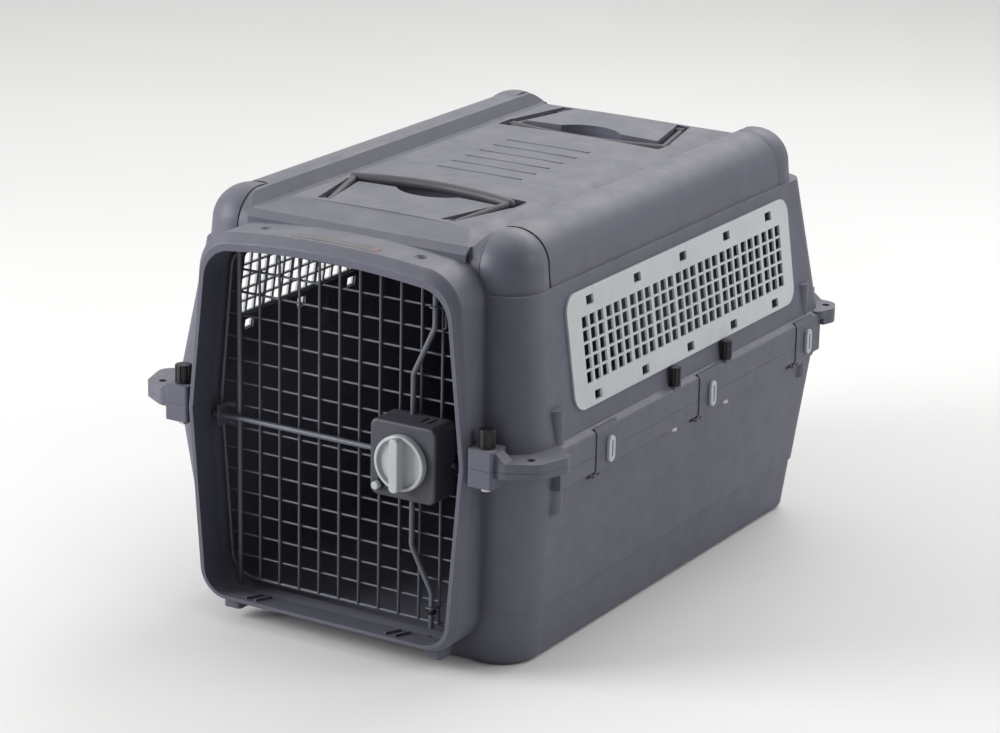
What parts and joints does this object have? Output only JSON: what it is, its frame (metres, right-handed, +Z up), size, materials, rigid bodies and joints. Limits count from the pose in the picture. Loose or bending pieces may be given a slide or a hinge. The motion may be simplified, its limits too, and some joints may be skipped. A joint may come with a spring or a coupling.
{
  "type": "pet transport carrier",
  "caption": "Clamp-together plastic pet carrier with a hinged wire door, rotary multi-bolt lock, slotted side vents, side clips and fold-flat carry handles.",
  "frame": {"origin": "middle of the part's footprint, on the plane the tub stands on", "axes": "+Y from the wire door to the rear wall, +X to the right seen from the door, +Z up"},
  "size_m": [0.514, 0.7444, 0.463],
  "materials": {
    "tub": "fine-textured moulded polypropylene, dark slate grey",
    "lid": "fine-textured moulded polypropylene, dark slate grey",
    "vent": "light grey moulded plastic",
    "wire": "grey powder-coated welded wire",
    "rod": "grey powder-coated rod",
    "lock_case": "dark grey moulded plastic",
    "knob": "light grey moulded plastic",
    "button_grey": "light grey moulded plastic",
    "rubber_black": "black rubber",
    "nut": "near-black moulded plastic",
    "steel": "zinc-plated steel",
    "clip": "dark grey moulded plastic",
    "handle": "dark grey moulded plastic"
  },
  "bodies": {
    "carrier": {"bottom_shell": "tub", "top_shell": "lid", "vent_panel_left": "vent", "vent_panel_right": "vent", "clip_pins_left": "steel", "clip_pins_right": "steel", "corner_thumb_nuts": "nut", "corner_bolts": "steel", "side_thumb_nuts": "nut", "side_bolts": "steel", "front_handle_pins": "steel", "rear_handle_pins": "steel", "handle_recess_front": "lid", "handle_recess_rear": "lid"},
    "door": {"door_outline_wire": "wire", "door_vertical_wires": "wire", "door_cross_wires": "wire", "hinge_rod": "rod", "rod_guides": "wire", "level_rod_bracket": "rod", "lock_housing": "lock_case", "lock_back_plate": "lock_case", "lock_screws": "steel", "button_collar": "nut", "button_spring": "steel"},
    "lock_knob": {"lock_knob": "knob", "lock_pinion": "knob"},
    "upper_bolt": {"upper_bolt": "rod"},
    "lower_bolt": {"lower_bolt": "rod", "lower_bolt_collar": "rubber_black"},
    "left_bolt": {"left_bolt": "rod"},
    "right_bolt": {"right_bolt": "rod", "right_bolt_collar": "rubber_black"},
    "lock_button": {"lock_button": "knob"},
    "front_handle": {"front_handle": "handle"},
    "rear_handle": {"rear_handle": "handle"},
    "clip_left_front": {"clip_left_front": "clip"},
    "clip_latch_left_front": {"clip_latch_left_front": "button_grey"},
    "clip_left_middle": {"clip_left_middle": "clip"},
    "clip_latch_left_middle": {"clip_latch_left_middle": "button_grey"},
    "clip_left_rear": {"clip_left_rear": "clip"},
    "clip_latch_left_rear": {"clip_latch_left_rear": "button_grey"},
    "clip_right_front": {"clip_right_front": "clip"},
    "clip_latch_right_front": {"clip_latch_right_front": "button_grey"},
    "clip_right_middle": {"clip_right_middle": "clip"},
    "clip_latch_right_middle": {"clip_latch_right_middle": "button_grey"},
    "clip_right_rear": {"clip_right_rear": "clip"},
    "clip_latch_right_rear": {"clip_latch_right_rear": "button_grey"}
  },
  "joints": [
    {"name": "door_hinge", "type": "hinge", "parent": "carrier", "child": "door", "pos_m": [-0.1397, -0.31495, 0.22], "axis": [0, 0, -1], "range_deg": [0, 84]},
    {"name": "lock_turn", "type": "hinge", "parent": "door", "child": "lock_knob", "pos_m": [0.0925, -0.35425, 0.224], "axis": [0, 1, 0], "range_deg": [0, 90]},
    {"name": "upper_bolt_slide", "type": "slide", "parent": "door", "child": "upper_bolt", "axis": [0, 0, 1], "range_m": [0, 0.01492]},
    {"name": "lower_bolt_slide", "type": "slide", "parent": "door", "child": "lower_bolt", "axis": [0, 0, -1], "range_m": [0, 0.015]},
    {"name": "left_bolt_slide", "type": "slide", "parent": "door", "child": "left_bolt", "axis": [-1, 0, 0], "range_m": [0, 0.015]},
    {"name": "right_bolt_slide", "type": "slide", "parent": "door", "child": "right_bolt", "axis": [1, 0, 0], "range_m": [0, 0.015]},
    {"name": "lock_button_press", "type": "slide", "parent": "door", "child": "lock_button", "axis": [0, 1, 0], "range_m": [0, 0.004], "stiffness_N_per_m": 400, "springref_m": -0.001, "deforming": ["button_spring"]},
    {"name": "clip_left_front_hinge", "type": "hinge", "parent": "carrier", "child": "clip_left_front", "pos_m": [-0.231, -0.18225, 0.1926], "axis": [0, -1, 0], "range_deg": [0, 75]},
    {"name": "clip_latch_left_front_turn", "type": "hinge", "parent": "clip_left_front", "child": "clip_latch_left_front", "pos_m": [-0.237, -0.17825, 0.218], "axis": [-1, 0, 0], "range_deg": [0, 90]},
    {"name": "clip_left_middle_hinge", "type": "hinge", "parent": "carrier", "child": "clip_left_middle", "pos_m": [-0.231, 0.04475, 0.1926], "axis": [0, -1, 0], "range_deg": [0, 75]},
    {"name": "clip_latch_left_middle_turn", "type": "hinge", "parent": "clip_left_middle", "child": "clip_latch_left_middle", "pos_m": [-0.237, 0.04875, 0.218], "axis": [-1, 0, 0], "range_deg": [0, 90]},
    {"name": "clip_left_rear_hinge", "type": "hinge", "parent": "carrier", "child": "clip_left_rear", "pos_m": [-0.231, 0.28175, 0.1926], "axis": [0, -1, 0], "range_deg": [0, 75]},
    {"name": "clip_latch_left_rear_turn", "type": "hinge", "parent": "clip_left_rear", "child": "clip_latch_left_rear", "pos_m": [-0.237, 0.28575, 0.218], "axis": [-1, 0, 0], "range_deg": [0, 90]},
    {"name": "clip_right_front_hinge", "type": "hinge", "parent": "carrier", "child": "clip_right_front", "pos_m": [0.231, -0.18225, 0.1926], "axis": [0, 1, 0], "range_deg": [0, 75]},
    {"name": "clip_latch_right_front_turn", "type": "hinge", "parent": "clip_right_front", "child": "clip_latch_right_front", "pos_m": [0.237, -0.17825, 0.218], "axis": [1, 0, 0], "range_deg": [0, 90]},
    {"name": "clip_right_middle_hinge", "type": "hinge", "parent": "carrier", "child": "clip_right_middle", "pos_m": [0.231, 0.04475, 0.1926], "axis": [0, 1, 0], "range_deg": [0, 75]},
    {"name": "clip_latch_right_middle_turn", "type": "hinge", "parent": "clip_right_middle", "child": "clip_latch_right_middle", "pos_m": [0.237, 0.04875, 0.218], "axis": [1, 0, 0], "range_deg": [0, 90]},
    {"name": "clip_right_rear_hinge", "type": "hinge", "parent": "carrier", "child": "clip_right_rear", "pos_m": [0.231, 0.28175, 0.1926], "axis": [0, 1, 0], "range_deg": [0, 75]},
    {"name": "clip_latch_right_rear_turn", "type": "hinge", "parent": "clip_right_rear", "child": "clip_latch_right_rear", "pos_m": [0.237, 0.28575, 0.218], "axis": [1, 0, 0], "range_deg": [0, 90]},
    {"name": "front_handle_pivot", "type": "hinge", "parent": "carrier", "child": "front_handle", "pos_m": [0, -0.24225, 0.449], "axis": [1, 0, 0], "range_deg": [-5, 90]},
    {"name": "rear_handle_pivot", "type": "hinge", "parent": "carrier", "child": "rear_handle", "pos_m": [0, 0.25775, 0.449], "axis": [-1, 0, 0], "range_deg": [0, 95]}
  ],
  "couplings": [
    {"joint": "lock_turn", "follows": "upper_bolt_slide", "rad_per_m": 105.26},
    {"joint": "lower_bolt_slide", "follows": "upper_bolt_slide", "ratio": 1},
    {"joint": "left_bolt_slide", "follows": "upper_bolt_slide", "ratio": 1},
    {"joint": "right_bolt_slide", "follows": "upper_bolt_slide", "ratio": 1}
  ]
}
